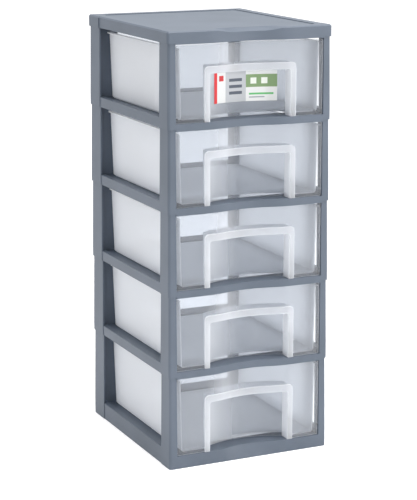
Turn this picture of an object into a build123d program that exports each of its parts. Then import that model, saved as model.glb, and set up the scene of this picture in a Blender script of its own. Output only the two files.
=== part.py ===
"""Plastic drawer tower: a plinth frame, four stacking frames, a cover and five pull-out drawers.

Millimetres, +X to the right, +Y to the back, +Z up.
Origin: middle of the footprint, on the floor.
"""
import math
import os

from build123d import *

# ---- driving dimensions -------------------------------------------------------------------
WIDTH = 294.0            # outside width of a frame
DEPTH = 342.0            # outside depth of a frame
PITCH = 137.0            # height of one stacking frame
BOTTOM_STOREY = 145.5    # the plinth frame stands taller and holds the deeper drawer
PLINTH = 12.5            # floor to the level of the plinth frame's ring
STOREYS = 5

COVER_HEIGHT = 19.5      # cover's border above its seam
COVER_OUT = 0.5          # it stands out past the frames
COVER_EDGE = 2.2         # bevel round its top
COVER_BORDER = 20.0      # border round the sunken panel
COVER_SUNK = 1.2
PANEL_CORNER_R = 6.0
COVER_LIP = 1.5          # its front lip hangs below the seam
COVER_BROW = 24.0        # behind the front wall the hollow stays low as far back as this
BROW_DROP = 10.0         # and ends this far below the border
COVER_RIB = 1.8          # thickness of the ribs under it
RIB_RISE = 5.0           # and their lower edge above the seam
SCOOP_DEEP = 15.0        # dip in the border over the bay, in front and where it runs out
SCOOP_SHALLOW = 0.3
SCOOP_FRONT, SCOOP_BACK = -1.5, 18.0
SCOOP_CLEAR = 0.05       # its flat ends pass just above the border

CORNER_R = 4.5           # outside vertical corners
RIM_WALL = 2.5           # wall of the ring channels
POST_WALL = 3.0          # wall of the corner posts
POST_DRAFT = 1.5         # how far a post leans in over its height
POST_BEVEL = 1.5         # its inner corner
SIDE_RELIEF = 1.0        # the side rails stand this far behind the corner posts
FRONT_PLATE = 36.0       # depth of a front post's side plate
REAR_PLATE = 47.0        # depth of a rear post's side plate
FRONT_FLANGE = 14.0      # width of a front post's flange
REAR_FLANGE = 20.0       # width of a rear post's flange
WEB_REACH = 40.0         # the rear post's inner web, measured from the outside face
WEB_BACK = 35.5          # its front, measured from the tower's back
WEB_IN = 2.0             # its outer end, from the outside face
SPIGOT = 8.0             # post ends that plug into the ring above
PLUG_INSET = 1.0         # a post end stands this far inside its post's face
PLUG_SHORT = 3.0         # and ends this far before the post's arms do
PLUG_WALL = 2.0
PLUG_CORNER = 2.0        # its cut-off corner
FIT = 0.2                # clearance round a spigot

BAY_HALF = 80.0          # half width of the hollow bay in the tower's front
BAY_DEPTH = 11.0         # how far the bay sets the front back

RAIL_DROP = 3.0          # the front rail's lip hangs below the ring's seam
FRONT_LEDGE = 9.0        # heights above the ring's level
SIDE_LEDGE = 14.0
RAIL_TOP = 17.0
FRONT_REACH = 46.0       # front ledge, front to back
RAIL_WIDTH = 11.0        # flat top of a side rail
LEDGE_INNER = 32.0       # outside face to the inner edge of a side ledge
REAR_REACH = 36.0        # rear rail, front to back
HOLE_CORNER = 6.0        # cut-off corners of the opening in the ring

PANEL_HALF = 132.0       # drawer front, half width
PANEL_BACK = 3.0         # drawer front sits this far behind the tower's front
PANEL_T = 2.5
PANEL_CORNER = 1.6       # its cut-off corners
TRAY_FRONT = 3.5         # front end of the tray's walls
TRAY_HALF = 126.5        # tray, half width at the rim
TRAY_END = 303.0         # back of the tray, from the tower's front
TRAY_DRAFT = 3.0         # the tray narrows by this much towards its floor
TRAY_WALL = 1.8
TRAY_FLOOR = 2.0
TRAY_R = 9.0
TRAY_BEVEL = 3.0
RUNNING = 0.4            # tray floor above the side ledges
RIM_OUT = 4.8            # turned-out rim of the tray
RIM_BACK = 1.6           # and at its back
RIM_R = 13.0
RIM_T = 1.8
RIM_BELOW = 8.2          # rim's top below the seam above
FRONT_BELOW = 3.5        # drawer front's top below the seam above

TRAVEL = 245.5           # from shut to the stops' meeting
TAB_IN = 15.0            # stop tabs, from the tray's back end
TAB_DOWN = 3.6           # and how far they hang below its floor
RIB_UP = 3.0             # stop ribs above the front ledge
STOP_X, STOP_HALF = 98.0, 8.0
STOP_T = 2.0

GRIP_HALF = 73.0         # finger recess, half width
GRIP_TOP = 50.0          # recess mouth's upper edge below the seam above
BAND_SIDE = 9.0          # raised band round the recess mouth
BAND_TOP = 11.5
BAND_OUT = 2.6           # how far the band stands out
BAND_R, GRIP_R = 7.0, 4.0  # corners of the band and of the recess mouth
POCKET_SIDE = 22.0       # recess depth at its sides and in the middle
POCKET_MID = 41.0

CARD_W, CARD_H, CARD_T = 112.0, 50.0, 0.5
CARD_X = 5.0             # card's middle, right of the drawer's middle
CARD_UP = 33.0           # card's lower edge above the ring's level

RIBS_X = (-70, 0, 70)    # ribs under the cover
RIBS_Y = (100, 185, 270)

ROOT = 1.0               # joined shapes sink into each other by this
CUT = 1.0                # cutting shapes run past a face by this
FAR = 20.0               # or by this, where nothing is in their way

FRONT_Y = -DEPTH / 2
HALF = WIDTH / 2
MOUTH = HALF - FRONT_FLANGE  # half width of the opening between the front posts


# ---- helpers ------------------------------------------------------------------------------
def box(x0, x1, y0, y1, z0, z1):
    """Box between limits; y is measured from the tower's front."""
    corner = (Align.MIN, Align.MIN, Align.MIN)
    return Pos(x0, FRONT_Y + y0, z0) * Box(x1 - x0, y1 - y0, z1 - z0, align=corner)


def slab(half, y0, y1, radius=0.0):
    """Plan rectangle, with rounded corners if asked; y from the tower's front."""
    middle = Pos(0, FRONT_Y + (y0 + y1) / 2)
    if radius:
        return middle * RectangleRounded(2 * half, y1 - y0, radius)
    return middle * Rectangle(2 * half, y1 - y0)


def raise_face(face, z0, z1):
    """Prism on a plan area."""
    return extrude(Pos(0, 0, z0) * face, z1 - z0, dir=(0, 0, 1))


def dented(half, deep, reach, far):
    """Area below a line that rises into a bay: straight, an S curve up and down, straight."""
    turn = 2 * math.atan(deep / half)
    radius = half / (2 * math.sin(turn))
    bulge = radius * math.sin(turn / 2)
    sag = radius * (1 - math.cos(turn / 2))
    left_mid, right_mid = (-half / 2, deep / 2), (half / 2, deep / 2)
    arcs = [
        ThreePointArc((-half, 0), (-half + bulge, sag), left_mid),
        ThreePointArc(left_mid, (0, deep), right_mid),
        ThreePointArc(right_mid, (half - bulge, sag), (half, 0)),
    ]
    rest = Polyline((half, 0), (reach, 0), (reach, -far), (-reach, -far), (-reach, 0), (-half, 0))
    return make_face(arcs + [rest])


def bay_face(y):
    """Plan area in front of the bay line at depth y, to be cut away."""
    return Pos(0, FRONT_Y + y) * dented(BAY_HALF, BAY_DEPTH, HALF + FAR, FAR)


def bay_strip(half, y, thick):
    """Plan strip that follows the bay, for drawer fronts and bands."""
    depth = BAY_DEPTH + thick + CUT
    block = Pos(0, FRONT_Y + y + depth / 2) * Rectangle(2 * half, depth)
    return block - bay_face(y) - (block - bay_face(y + thick))


def corner_section(flange, plate, wall, inset):
    """L section in plan with its outer corner at the origin, arms along +X and +Y."""
    low = (Align.MIN, Align.MIN)
    outer = Pos(inset, inset) * Rectangle(flange - inset, plate - inset, align=low)
    outer = fillet(outer.vertices().sort_by(lambda v: v.X + v.Y)[0], CORNER_R)
    start = inset + wall
    inner = Pos(start, start) * Rectangle(flange - start, plate - start, align=low)
    inner = chamfer(inner.vertices().sort_by(lambda v: v.X + v.Y)[0], POST_BEVEL)
    return outer - inner


def four_corners(front, rear):
    """Place one front and one rear solid, drawn from a corner at the origin, at all four."""
    left_front = Pos(-HALF, FRONT_Y) * front
    left_rear = Pos(-HALF, -FRONT_Y) * mirror(rear, about=Plane.XZ)
    left = left_front + left_rear
    return left + mirror(left, about=Plane.YZ)


# ---- frames -------------------------------------------------------------------------------
def drafted(flange, plate, z0, z1):
    """Post arm that leans in towards its top."""
    foot = Pos(0, 0, z0) * corner_section(flange, plate, POST_WALL, 0)
    head = Pos(0, 0, z1) * corner_section(flange, plate, POST_WALL, POST_DRAFT)
    return loft([foot.faces()[0], head.faces()[0]], ruled=True)


def spigot(flange, plate, z, grow=0.0):
    """Post end that plugs into the ring above; with grow, the socket for it."""
    low = (Align.MIN, Align.MIN)
    start = POST_DRAFT + PLUG_INSET - grow
    end_x, end_y = flange - PLUG_SHORT + grow, plate - PLUG_SHORT + grow
    outer = Pos(start, start) * Rectangle(end_x - start, end_y - start, align=low)
    outer = chamfer(outer.vertices().sort_by(lambda v: v.X + v.Y)[0], PLUG_CORNER)
    inside = start + PLUG_WALL + 2 * grow
    inner = Pos(inside, inside) * Rectangle(end_x - inside, end_y - inside, align=low)
    inner = chamfer(inner.vertices().sort_by(lambda v: v.X + v.Y)[0], PLUG_CORNER / 2)
    return extrude(Pos(0, 0, z) * (outer - inner), SPIGOT + grow, dir=(0, 0, 1))


def posts(z_foot, z_top):
    """The four corner posts with their plug ends; the rear ones have an inner web."""
    front = drafted(FRONT_FLANGE, FRONT_PLATE, z_foot, z_top)
    front += spigot(FRONT_FLANGE, FRONT_PLATE, z_top)
    low = (Align.MIN, Align.MIN, Align.MIN)
    rear = drafted(REAR_FLANGE, REAR_PLATE, z_foot, z_top)
    web = Pos(WEB_IN, WEB_BACK - RIM_WALL, z_foot - RIM_WALL) * Box(
        WEB_REACH - WEB_IN, RIM_WALL, z_top - z_foot + RIM_WALL, align=low)
    rear += web + spigot(REAR_FLANGE, REAR_PLATE, z_top)
    return four_corners(front, rear)


def ring(level, bottom):
    """Open-bottomed channel ring: ledges for the drawer, with the bay in its front rail."""
    top = level + RAIL_TOP
    outline = slab(HALF, 0, DEPTH, CORNER_R) - bay_face(0)
    body = raise_face(outline, bottom, top)
    body -= side_reliefs(bottom - CUT, top + CUT)
    body -= box(-MOUTH, MOUTH, -CUT, FRONT_REACH, level + FRONT_LEDGE, top + CUT)
    ledge = HALF - RAIL_WIDTH
    body -= box(-ledge, ledge, FRONT_REACH, DEPTH - REAR_REACH, level + SIDE_LEDGE, top + CUT)
    hole = slab(HALF - LEDGE_INNER, FRONT_REACH, DEPTH - REAR_REACH)
    body -= raise_face(chamfer(hole.vertices(), HOLE_CORNER), bottom - CUT, top + CUT)
    return body - channels(level, bottom - CUT)


def side_reliefs(z0, z1):
    """Side rails stand a little behind the corner posts."""
    cuts = Part()
    for side in (-1, 1):
        near, far = sorted((side * (HALF - SIDE_RELIEF), side * (HALF + FAR)))
        cuts += box(near, far, FRONT_PLATE, DEPTH - REAR_PLATE, z0, z1)
    return cuts


def front_lip(seam, y, drop):
    """Edge that hangs below the seam between the front flanges and follows the bay."""
    return raise_face(bay_strip(MOUTH, y, RIM_WALL), seam - drop, seam + RIM_WALL)


def apron(y, height):
    """Front of the plinth: straight along the floor, hollow like the bay at its top."""
    back = 2 * BAY_DEPTH
    foot = Polyline((-BAY_HALF, 0), (-BAY_HALF / 2, 0), (BAY_HALF / 2, 0), (BAY_HALF, 0),
                    (BAY_HALF, back), (-BAY_HALF, back), close=True)
    head = slab(BAY_HALF, y, y + back) - bay_face(y)
    foot = Pos(0, FRONT_Y + y) * make_face(foot)
    return loft([foot.faces()[0], Pos(0, 0, height) * head.faces()[0]], ruled=True)


def channels(level, base):
    """Hollow underside of the ring, one run for each height of the ledges."""
    wall = RIM_WALL + SIDE_RELIEF
    inner = slab(HALF - LEDGE_INNER + RIM_WALL, FRONT_REACH - RIM_WALL,
                 DEPTH - REAR_REACH + RIM_WALL)
    outer = slab(HALF - wall, RIM_WALL, DEPTH - wall) - bay_face(RIM_WALL)
    run = outer - inner
    hollow = raise_face(run, base, level + FRONT_LEDGE - RIM_WALL)
    behind = slab(HALF, FRONT_REACH + RIM_WALL, DEPTH)
    hollow += raise_face(run & behind, base, level + SIDE_LEDGE - RIM_WALL)
    strip = HALF - RAIL_WIDTH + RIM_WALL
    for side in (-1, 1):
        near, far = sorted((side * strip, side * (HALF - wall)))
        hollow += box(near, far, FRONT_REACH + RIM_WALL, DEPTH - REAR_REACH, base,
                      level + RAIL_TOP - RIM_WALL)
    return hollow


def sockets(level):
    """Room in a ring for the four post ends below it."""
    front = spigot(FRONT_FLANGE, FRONT_PLATE, level, FIT)
    rear = spigot(REAR_FLANGE, REAR_PLATE, level, FIT)
    return four_corners(front, rear)


def stop_ribs(level):
    """Two low ribs on the front ledge that catch the drawer's rear tabs."""
    ribs = Part()
    stop_y = TRAY_END - TAB_IN - TRAVEL
    for x in (-STOP_X, STOP_X):
        ribs += box(x - STOP_HALF, x + STOP_HALF, stop_y - STOP_T, stop_y,
                    level + FRONT_LEDGE - ROOT, level + FRONT_LEDGE + RIB_UP)
    return ribs


def stacking_frame(level, top):
    """One moulding: the ring, its four posts, the stop ribs and the front lip."""
    body = ring(level, level) + posts(level + RAIL_TOP, top) + stop_ribs(level)
    return body + front_lip(level, 0, RAIL_DROP) - sockets(level)


def plinth_frame(level, top):
    """The lowest frame reaches to the floor and closes the foot of the bay."""
    ledge = level + FRONT_LEDGE
    body = ring(level, 0) + posts(level + RAIL_TOP, top) + stop_ribs(level)
    body += apron(0, ledge)
    keep = box(-BAY_HALF, BAY_HALF, 0, DEPTH, -CUT, ledge - RIM_WALL)
    return body - (apron(RIM_WALL, ledge) & keep)


def cover(seam):
    """Cover with the bay in its front, a sunken flat panel and a scooped brow."""
    top = seam + COVER_HEIGHT
    plan = slab(HALF + COVER_OUT, -COVER_OUT, DEPTH + COVER_OUT, CORNER_R) - bay_face(-COVER_OUT)
    body = raise_face(plan, seam, top) - side_reliefs(seam - CUT, top + CUT)
    body = chamfer(body.edges().group_by(Axis.Z)[-1], COVER_EDGE)
    panel = slab(HALF - COVER_BORDER, COVER_BORDER, DEPTH - COVER_BORDER, PANEL_CORNER_R)
    body -= raise_face(panel, top - COVER_SUNK, top + CUT)
    body -= scoop(top + SCOOP_CLEAR)
    body -= cover_hollow(seam, top)
    body += cover_ribs(seam, top) + front_lip(seam, -COVER_OUT, COVER_LIP)
    return body - sockets(seam)


def scoop(z):
    """Dip in the cover's front border that follows the bay and runs out before the panel."""
    ends = []
    for y, deep in ((SCOOP_FRONT, SCOOP_DEEP), (SCOOP_BACK, SCOOP_SHALLOW)):
        upright = Plane(origin=(0, FRONT_Y + y, z), x_dir=(1, 0, 0), z_dir=(0, 1, 0))
        ends.append((upright * dented(BAY_HALF, deep, BAY_HALF + CUT, FAR)).faces()[0])
    return loft(ends, ruled=True)


def cover_hollow(seam, top):
    """Open underside, lower under the scoop."""
    wall = RIM_WALL + SIDE_RELIEF
    inside = slab(HALF - wall, RIM_WALL, DEPTH - wall) - bay_face(RIM_WALL)
    behind = slab(HALF, COVER_BROW, DEPTH)
    hollow = raise_face(inside, seam - CUT, top - BROW_DROP)
    return hollow + raise_face(inside & behind, seam - CUT, top - COVER_SUNK - RIM_WALL)


def cover_ribs(seam, top):
    """Stiffening ribs across the cover's underside."""
    ribs = Part()
    low, high = seam + RIB_RISE, top - COVER_SUNK - RIM_WALL + ROOT
    half = COVER_RIB / 2
    for x in RIBS_X:
        ribs += box(x - half, x + half, COVER_BROW - ROOT, DEPTH - RIM_WALL, low, high)
    for y in RIBS_Y:
        ribs += box(RIM_WALL - HALF, HALF - RIM_WALL, y - half, y + half, low, high)
    return ribs


# ---- drawers ------------------------------------------------------------------------------
def pocket_plan(grow):
    """Plan of the finger recess: straight sides and a hollow curved back wall."""
    half = GRIP_HALF + grow
    side_y = FRONT_Y + POCKET_SIDE + grow
    back = ThreePointArc((-half, side_y), (0, FRONT_Y + POCKET_MID + grow), (half, side_y))
    front_y = FRONT_Y + PANEL_BACK
    rest = Polyline((half, side_y), (half, front_y), (-half, front_y), (-half, side_y))
    return make_face([back, rest])


def arch(half, z0, z1, radius):
    """Upright arch-shaped prism through the drawer front, with rounded top corners."""
    prism = box(-half, half, -FAR, POCKET_SIDE - CUT, z0, z1)
    upper = prism.edges().filter_by(Axis.Y).group_by(Axis.Z)[-1]
    return fillet(upper, radius)


def round_back(plan, radius):
    """Round the rear corners of a plan."""
    return fillet(plan.vertices().group_by(Axis.Y)[-1], radius)


def tray_plan(inset, z):
    """Plan of the tray's walls at one height; its front end stays at the drawer's front."""
    plan = round_back(slab(TRAY_HALF - inset, TRAY_FRONT, TRAY_END - inset), TRAY_R)
    return Pos(0, 0, z) * plan.faces()[0]


def tray(floor, rim):
    """Box that widens upwards, with a bevelled foot and a turned-out rim, open on top."""
    outside = loft([tray_plan(TRAY_DRAFT + TRAY_BEVEL, floor),
                    tray_plan(TRAY_DRAFT, floor + TRAY_BEVEL), tray_plan(0, rim)], ruled=True)
    inside = loft([tray_plan(TRAY_DRAFT + TRAY_WALL, floor + TRAY_FLOOR),
                   tray_plan(TRAY_WALL, rim + CUT)], ruled=True)
    flange = round_back(slab(TRAY_HALF + RIM_OUT, TRAY_FRONT, TRAY_END + RIM_BACK), RIM_R)
    shell = outside + raise_face(flange, rim - RIM_T, rim) - inside
    return shell - raise_face(bay_face(PANEL_BACK), floor - CUT, rim + CUT)


def front_panel(foot, head):
    """Front wall that follows the bay."""
    panel = raise_face(bay_strip(PANEL_HALF, PANEL_BACK, PANEL_T), foot, head)
    return chamfer(panel.edges().filter_by(Axis.Y), PANEL_CORNER)


def band(foot, seam):
    """Raised band round the recess mouth; its top bar is the grip."""
    half = GRIP_HALF + BAND_SIDE
    strip = bay_strip(half, PANEL_BACK - BAND_OUT, BAND_OUT + ROOT)
    top = seam - GRIP_TOP + BAND_TOP
    return raise_face(strip, foot, seam) & arch(half, foot, top, BAND_R)


def drawer(level, seam, front_foot):
    """One moulding: tray, front wall, band, finger recess and stop tabs."""
    floor = level + SIDE_LEDGE + RUNNING
    rim = seam - RIM_BELOW
    ceiling = seam - GRIP_TOP + BAND_TOP
    solid = tray(floor, rim) + front_panel(front_foot, seam - FRONT_BELOW)
    solid += band(front_foot, seam)
    behind = raise_face(bay_face(PANEL_BACK), front_foot - CUT, ceiling + CUT)
    pocket = raise_face(pocket_plan(TRAY_WALL), front_foot, ceiling) - behind
    solid += pocket
    solid -= raise_face(pocket_plan(0), front_foot - CUT, ceiling - TRAY_WALL) - mouth_keep(seam)
    solid -= arch(GRIP_HALF, front_foot - FAR, seam - GRIP_TOP, GRIP_R)
    return solid + stop_tabs(floor)


def mouth_keep(seam):
    """Grip lip: the front wall above the recess mouth."""
    lip = bay_strip(GRIP_HALF + CUT, PANEL_BACK - BAND_OUT, BAND_OUT + PANEL_T)
    return raise_face(lip, seam - GRIP_TOP, seam)


def stop_tabs(floor):
    """Tabs under the tray's back edge that meet the ledge ribs at full travel."""
    tabs = Part()
    tab_y = TRAY_END - TAB_IN
    for x in (-STOP_X, STOP_X):
        tabs += box(x - STOP_HALF, x + STOP_HALF, tab_y, tab_y + STOP_T,
                    floor - TAB_DOWN, floor + ROOT)
    return tabs


def label_card(level):
    """Plain card lying on the curved back wall of the top drawer's recess."""
    wall = raise_face(pocket_plan(0), level, level + PITCH)
    hollow = raise_face(pocket_plan(-CARD_T), level - CUT, level + PITCH + CUT)
    x0 = CARD_X - CARD_W / 2
    z0 = level + CARD_UP
    return (wall - hollow) & box(x0, x0 + CARD_W, POCKET_SIDE, POCKET_MID + CUT, z0, z0 + CARD_H)


# ---- assembly -----------------------------------------------------------------------------
def main():
    os.makedirs("parts", exist_ok=True)
    levels = [PLINTH, PLINTH + BOTTOM_STOREY]
    while len(levels) <= STOREYS:
        levels.append(levels[-1] + PITCH)

    pieces = {}
    for storey in range(STOREYS):
        level, seam = levels[storey], levels[storey + 1]
        if storey == 0:
            pieces["base_frame"] = plinth_frame(level, seam)
        else:
            pieces[f"frame_{storey + 1}"] = stacking_frame(level, seam)
        pieces[f"drawer_{storey + 1}"] = drawer(level, seam, level + FRONT_LEDGE + RUNNING)
    pieces["top_cover"] = cover(levels[-1])
    pieces["label_card"] = label_card(levels[-2])
    for name, piece in pieces.items():
        export_step(piece, f"parts/{name}.step")


main()
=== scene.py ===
"""Plastic drawer tower: satin grey frames and cover, milky see-through drawers, one printed card.

Metres, in the CAD frame: +X to the right, +Y to the back, +Z up, floor at 0.
"""

import math

import bpy
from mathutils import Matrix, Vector


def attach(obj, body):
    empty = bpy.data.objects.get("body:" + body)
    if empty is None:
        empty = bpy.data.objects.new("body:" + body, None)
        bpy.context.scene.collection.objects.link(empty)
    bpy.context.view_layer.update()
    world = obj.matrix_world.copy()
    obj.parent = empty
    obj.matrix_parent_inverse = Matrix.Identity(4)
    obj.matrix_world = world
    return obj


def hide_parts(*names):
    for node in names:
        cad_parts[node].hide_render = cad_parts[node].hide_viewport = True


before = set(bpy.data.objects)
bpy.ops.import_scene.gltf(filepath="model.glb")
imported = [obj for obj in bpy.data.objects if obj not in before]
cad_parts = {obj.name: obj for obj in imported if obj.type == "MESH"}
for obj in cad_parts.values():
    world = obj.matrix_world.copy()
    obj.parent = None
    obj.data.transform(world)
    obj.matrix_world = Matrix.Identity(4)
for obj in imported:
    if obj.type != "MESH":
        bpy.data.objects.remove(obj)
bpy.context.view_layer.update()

MM = 0.001
FRAMES = ["base_frame", "frame_2", "frame_3", "frame_4", "frame_5", "top_cover"]
DRAWERS = ["drawer_1", "drawer_2", "drawer_3", "drawer_4", "drawer_5"]

# ---- the photograph's camera ---------------------------------------------------------------
IMAGE_WIDE, IMAGE_HIGH = 417, 500
CAMERA_PLACE = (-1.2224, -2.6231, 0.9906)
CAMERA_LOOK = (0.4127, 0.8829, -0.2240)
FOCAL_PIXELS = 1705.8
SENSOR = 36.0                # millimetres, along the longer side

# ---- sizes taken over from the part, in metres ----------------------------------------------
FRONT_Y = -171.0 * MM        # tower's front
BAY_HALF = 80.0 * MM         # hollow bay in the front: half width and depth
BAY_DEPTH = 11.0 * MM
PANEL_BACK = 3.0 * MM        # drawer front behind the tower's front
EDGE_BACK = 6.5 * MM         # and its back face, with a little over
BAND_MARGIN = 0.15 * MM      # the raised band starts at least this far before the drawer front
RIM_BELOW = 8.2 * MM         # tray rim below the seam above
RIM_T = 2.2 * MM             # and its thickness, with a little over
PLINTH = 12.5 * MM           # floor to the first storey
BOTTOM_STOREY = 145.5 * MM
PITCH = 137.0 * MM           # height of each storey above it
CARD_X = 5.0 * MM            # card's middle
CARD_LOW = 602.0 * MM        # its lower edge
CARD_WIDE = 112.0 * MM

# ---- edges ---------------------------------------------------------------------------------
FRAME_EDGE = 0.9 * MM        # width of the rounding
DRAWER_EDGE = 0.4 * MM
EDGE_STEPS = 2
EDGE_ANGLE = math.radians(40)        # edges sharper than this are rounded
SMOOTH_ANGLE = math.radians(35)      # shading stays smooth over edges flatter than this
FLAT_ANGLE = math.radians(0.5)       # triangles within this of a plane become one face
MERGE = 0.01 * MM                    # corners closer than this become one

# ---- plastics and card ---------------------------------------------------------------------
GREY_DARK, GREY_LIGHT = "#57606C", "#5F6875"
CLOUDS = 9.0                 # cloudy patches of the grey, to the metre
GREY_GRAIN = 0.7 * MM        # one grain of the spark-eroded surface
MILKY = "#F8F9FB"
MILKY_WAVES = 6.0 * MM       # one wave of the faintly uneven drawer walls
CLEAR_TINT = "#EFF1F4"       # what one face of a drawer lets through unscattered
PASSED_LIGHT = 0.48          # share of the milky plastic's own light that comes from behind
FACING_FROM, FACING_TO = 0.12, 0.6   # turn away from the eye over which it grows milkier
WALL_SHARES = 0.13, 0.85     # milky share seen square on and at a slant: thin walls
THICK_SHARES = 0.5, 0.88     # and the band, rim and edges
CARD_WHITE = "#E4E5E4"

# Blocks printed on the card: middle and size in mm from its lower left corner, and colour.
CARD_PRINT = [
    (3.0, 25.0, 6.0, 50.0, "#D8262C"),      # red edge
    (42.0, 25.0, 38.0, 50.0, "#B9BCC0"),    # grey field
    (42.0, 36.0, 24.0, 5.0, "#4B5361"),     # three dark bars on it
    (42.0, 25.5, 24.0, 5.0, "#4B5361"),
    (42.0, 15.0, 24.0, 5.0, "#4B5361"),
    (86.5, 33.5, 51.0, 21.0, "#7E9A6B"),    # green field
    (74.0, 33.5, 10.0, 10.0, "#E9EDE4"),    # two pale squares on it
    (92.0, 33.5, 10.0, 10.0, "#E9EDE4"),
    (86.5, 12.0, 40.0, 3.0, "#5CB86A"),     # green rule under it
    (79.5, 6.5, 26.0, 2.0, "#9AA0A6"),      # and a grey one
    (14.5, 40.0, 9.0, 9.0, "#C8242B"),      # red square
]

# ---- light ---------------------------------------------------------------------------------
WORLD_LIGHT = 0.92           # strength of the white surroundings on the object
FLOOR_LIFT = 0.4             # how far the floor is lifted to white where it is seen
FLOOR_PAPER = "#F4F4F4"
FLOOR_SIZE = 30
# Name, place, aim, edge length and watts of each square lamp.
LAMPS = [
    ("right_lamp", (2.48, -2.96, 1.3), (0, 0, 0.4), 0.4, 46),   # key light, front right
    ("top_lamp", (0.3, -0.4, 3.0), (0, 0, 0.7), 1.8, 68),       # soft light from above
    ("left_fill", (-3.2, -0.6, 1.2), (0, 0, 0.4), 2.0, 3),      # faint fill on the left side
]


# ---- colours and nodes ---------------------------------------------------------------------
def linear(hex_colour):
    """sRGB hex to linear RGBA."""
    values = [int(hex_colour[i:i + 2], 16) / 255 for i in (1, 3, 5)]
    return [v / 12.92 if v <= 0.04045 else ((v + 0.055) / 1.055) ** 2.4 for v in values] + [1.0]


def set_sockets(shader, **values):
    """Sets unwired inputs by name, with _ for a space."""
    for name, value in values.items():
        shader.inputs[name.replace("_", " ")].default_value = value


def add_node(material, kind, wires=None, **settings):
    """Adds one shader node; settings name its properties or inputs, wires its wired inputs."""
    node = material.node_tree.nodes.new(kind)
    for name, value in settings.items():
        if hasattr(node, name):
            setattr(node, name, value)
        else:
            set_sockets(node, **{name: value})
    for name, source in (wires or {}).items():
        material.node_tree.links.new(source, node.inputs[name])
    return node


def new_material(name):
    """Node material with its Principled shader; returns both."""
    material = bpy.data.materials.new(name)
    material.use_nodes = True
    return material, material.node_tree.nodes["Principled BSDF"]


def add_bump(material, shader, place, pitch, strength):
    """Raises the surface in a fine noise of this pitch, 0.05 mm high."""
    grain = add_node(material, "ShaderNodeTexNoise", {"Vector": place}, Scale=1 / pitch, Detail=2.0)
    bump = add_node(material, "ShaderNodeBump", {"Height": grain.outputs["Fac"]},
                    Strength=strength, Distance=0.05 * MM)
    material.node_tree.links.new(bump.outputs["Normal"], shader.inputs["Normal"])


# ---- materials -----------------------------------------------------------------------------
def grey_polypropylene():
    """Satin grey moulded polypropylene: fine spark-eroded grain and a faint cloudiness."""
    material, shader = new_material("grey_polypropylene")
    place = add_node(material, "ShaderNodeTexCoord").outputs["Object"]
    cloud = add_node(material, "ShaderNodeTexNoise", {"Vector": place}, Scale=CLOUDS, Detail=2.0)
    tone = add_node(material, "ShaderNodeValToRGB", {"Fac": cloud.outputs["Fac"]})
    dark, light = tone.color_ramp.elements
    dark.position = 0.3
    dark.color = linear(GREY_DARK)
    light.position = 0.7
    light.color = linear(GREY_LIGHT)
    material.node_tree.links.new(tone.outputs["Color"], shader.inputs["Base Color"])
    add_bump(material, shader, place, GREY_GRAIN, 0.25)
    set_sockets(shader, Roughness=0.48, Specular_IOR_Level=0.35)
    return material


def milky_polypropylene(name, clear_share, slant_share):
    """Natural polypropylene: shows what is behind it, milkier at a slant, and passes light on."""
    material, shader = new_material(name)
    place = add_node(material, "ShaderNodeTexCoord").outputs["Object"]
    slant = add_node(material, "ShaderNodeLayerWeight", Blend=0.5)
    cover = add_node(material, "ShaderNodeMapRange", {"Value": slant.outputs["Facing"]},
                     From_Min=FACING_FROM, From_Max=FACING_TO,
                     To_Min=clear_share, To_Max=slant_share)
    passed = add_node(material, "ShaderNodeBsdfTranslucent", Color=linear(MILKY))
    clear = add_node(material, "ShaderNodeBsdfTransparent", Color=linear(CLEAR_TINT))
    body = add_node(material, "ShaderNodeMixShader",
                    {1: shader.outputs["BSDF"], 2: passed.outputs["BSDF"]}, Fac=PASSED_LIGHT)
    skin = add_node(material, "ShaderNodeMixShader",
                    {"Fac": cover.outputs["Result"], 1: clear.outputs["BSDF"],
                     2: body.outputs["Shader"]})
    output = material.node_tree.nodes["Material Output"]
    material.node_tree.links.new(skin.outputs["Shader"], output.inputs["Surface"])
    add_bump(material, shader, place, MILKY_WAVES, 0.02)
    set_sockets(shader, Base_Color=linear(MILKY), Roughness=0.45, Specular_IOR_Level=0.35)
    return material


def card_stock():
    """Coated white card printed with plain blocks of colour."""
    material, shader = new_material("printed_card")
    place = add_node(material, "ShaderNodeTexCoord").outputs["Object"]
    ground = add_node(material, "ShaderNodeRGB")
    ground.outputs["Color"].default_value = linear(CARD_WHITE)
    colour = ground.outputs["Color"]
    left = CARD_X - CARD_WIDE / 2
    for across, up, wide, high, tint in CARD_PRINT:
        half = (wide * MM / 2, 1.0, high * MM / 2)
        middle = (left + across * MM, 0.0, CARD_LOW + up * MM)
        colour = printed_block(material, place, colour, middle, half, linear(tint))
    material.node_tree.links.new(colour, shader.inputs["Base Color"])
    set_sockets(shader, Roughness=0.3)
    return material


def printed_block(material, place, ground, middle, half, tint):
    """Colour socket with one rectangle of tint laid over ground."""
    off = add_node(material, "ShaderNodeVectorMath", {0: place}, operation="SUBTRACT")
    off.inputs[1].default_value = middle
    share = add_node(material, "ShaderNodeVectorMath", {0: off.outputs[0]}, operation="DIVIDE")
    share.inputs[1].default_value = half
    size = add_node(material, "ShaderNodeVectorMath", {0: share.outputs[0]}, operation="ABSOLUTE")
    apart = add_node(material, "ShaderNodeSeparateXYZ", {0: size.outputs[0]})
    widest = add_node(material, "ShaderNodeMath", {0: apart.outputs["X"], 1: apart.outputs["Z"]},
                      operation="MAXIMUM")
    inside = add_node(material, "ShaderNodeMath", {0: widest.outputs[0]}, operation="LESS_THAN")
    inside.inputs[1].default_value = 1.0
    mix = add_node(material, "ShaderNodeMix", data_type="RGBA")
    links = material.node_tree.links
    links.new(inside.outputs[0], mix.inputs["Factor"])
    links.new(ground, mix.inputs[6])             # colours A and B of the mix, and its result
    mix.inputs[7].default_value = tint
    return mix.outputs[2]


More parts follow.
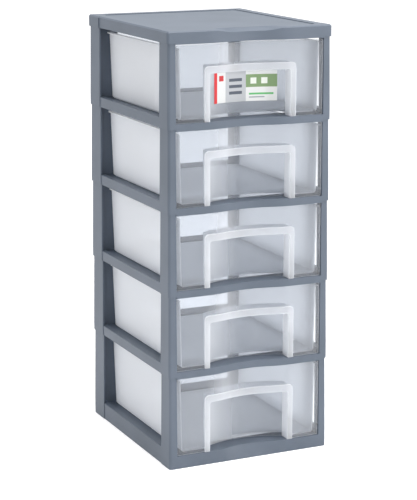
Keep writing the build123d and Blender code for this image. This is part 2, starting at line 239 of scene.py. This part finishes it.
# ---- mesh helpers --------------------------------------------------------------------------
def select_only(obj):
    bpy.ops.object.select_all(action="DESELECT")
    obj.select_set(True)
    bpy.context.view_layer.objects.active = obj


def dressed_copy(node, edge):
    """Copy of a CAD node with merged corners, flat faces made whole and its edges rounded."""
    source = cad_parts[node]
    select_only(source)
    bpy.ops.object.duplicate()
    piece = bpy.context.view_layer.objects.active
    piece.name = node + "_look"
    bpy.ops.object.mode_set(mode="EDIT")
    bpy.ops.mesh.select_all(action="SELECT")
    bpy.ops.mesh.remove_doubles(threshold=MERGE)
    bpy.ops.mesh.dissolve_limited(angle_limit=FLAT_ANGLE)
    bpy.ops.object.mode_set(mode="OBJECT")
    bevel = piece.modifiers.new("edge", "BEVEL")
    bevel.width = edge
    bevel.segments = EDGE_STEPS
    bevel.limit_method = "ANGLE"
    bevel.angle_limit = EDGE_ANGLE
    bevel.use_clamp_overlap = True
    bpy.ops.object.modifier_apply(modifier="edge")
    bpy.ops.object.shade_smooth_by_angle(angle=SMOOTH_ANGLE)
    normals = piece.modifiers.new("normals", "WEIGHTED_NORMAL")
    normals.keep_sharp = True
    bpy.ops.object.modifier_apply(modifier="normals")
    return piece


def paint(piece, *materials):
    piece.data.materials.clear()
    for material in materials:
        piece.data.materials.append(material)


def bay_at(x):
    """How far the bay sets the front back at x: a hollow curve between two swelling ones."""
    share = abs(x) / BAY_HALF
    if share > 1:
        return 0.0
    if share > 0.5:
        return BAY_DEPTH * 2 * (1 - share) ** 2
    return BAY_DEPTH * (1 - 2 * share ** 2)


def mark_thick(piece, rim):
    """Gives the band, the front wall's edges and the tray's rim the second material."""
    for face in piece.data.polygons:
        back = face.center.y - FRONT_Y - bay_at(face.center.x)
        on_band = back < PANEL_BACK - BAND_MARGIN
        on_edge = back < EDGE_BACK and abs(face.normal.y) < 0.5
        on_rim = back > EDGE_BACK and face.center.z > rim - RIM_T
        face.material_index = int(on_band or on_edge or on_rim)


# ---- the tower -----------------------------------------------------------------------------
def dress(node, body, material, edge):
    piece = dressed_copy(node, edge)
    paint(piece, material)
    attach(piece, body)
    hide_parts(node)
    return piece


grey = grey_polypropylene()
wall = milky_polypropylene("milky_polypropylene", *WALL_SHARES)
thick = milky_polypropylene("thick_milky_polypropylene", *THICK_SHARES)
for name in FRAMES:
    dress(name, "tower", grey, FRAME_EDGE)
for storey, name in enumerate(DRAWERS):
    drawer = dress(name, name + "_body", wall, DRAWER_EDGE)
    paint(drawer, wall, thick)
    seam = PLINTH + BOTTOM_STOREY + storey * PITCH
    mark_thick(drawer, seam - RIM_BELOW)
paint(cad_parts["label_card"], card_stock())


# ---- studio --------------------------------------------------------------------------------
def seen_directly(material):
    """1 where the camera, a mirror or clear plastic looks at the surface, else 0."""
    path = add_node(material, "ShaderNodeLightPath")
    total = path.outputs["Is Camera Ray"]
    for ray in ("Is Glossy Ray", "Is Transmission Ray"):
        total = add_node(material, "ShaderNodeMath", {0: total, 1: path.outputs[ray]},
                         operation="MAXIMUM").outputs[0]
    return total


def studio_floor():
    """Plain white floor, seen white, with the tower's soft shadow."""
    bpy.ops.object.select_all(action="DESELECT")
    bpy.ops.mesh.primitive_plane_add(size=FLOOR_SIZE, location=(0, 0, 0))
    floor = bpy.context.view_layer.objects.active
    floor.name = "studio_floor"
    material, shader = new_material("floor_paper")
    lift = add_node(material, "ShaderNodeMath", {0: seen_directly(material)}, operation="MULTIPLY")
    lift.inputs[1].default_value = FLOOR_LIFT
    set_sockets(shader, Base_Color=linear(FLOOR_PAPER), Roughness=0.9, Specular_IOR_Level=0.0,
                Emission_Color=(1, 1, 1, 1))
    material.node_tree.links.new(lift.outputs[0], shader.inputs["Emission Strength"])
    floor.data.materials.append(material)


def studio_world():
    """White surroundings: WORLD_LIGHT on the object, full white where they are seen."""
    world = bpy.data.worlds.new("studio")
    bpy.context.scene.world = world
    world.use_nodes = True
    background = world.node_tree.nodes["Background"]
    background.inputs["Color"].default_value = (1, 1, 1, 1)
    strength = add_node(world, "ShaderNodeMapRange", {"Value": seen_directly(world)},
                        To_Min=WORLD_LIGHT, To_Max=1.0)
    world.node_tree.links.new(strength.outputs["Result"], background.inputs["Strength"])


def soft_lamp(name, place, target, size, watts):
    bpy.ops.object.light_add(type="AREA", location=place)
    lamp = bpy.context.view_layer.objects.active
    lamp.name = name
    lamp.data.shape = "SQUARE"
    lamp.data.size = size
    lamp.data.energy = watts
    aim = Vector(target) - Vector(place)
    lamp.rotation_euler = aim.to_track_quat("-Z", "Y").to_euler()


def photo_camera():
    camera = bpy.data.cameras.new("photo_camera")
    camera.sensor_width = SENSOR
    camera.lens = FOCAL_PIXELS * SENSOR / max(IMAGE_WIDE, IMAGE_HIGH)
    holder = bpy.data.objects.new("photo_camera", camera)
    bpy.context.scene.collection.objects.link(holder)
    holder.location = CAMERA_PLACE
    holder.rotation_euler = Vector(CAMERA_LOOK).to_track_quat("-Z", "Y").to_euler()
    bpy.context.scene.camera = holder


studio_floor()
studio_world()
for lamp_values in LAMPS:
    soft_lamp(*lamp_values)
photo_camera()

view = bpy.context.scene.view_settings
view.view_transform = "Standard"
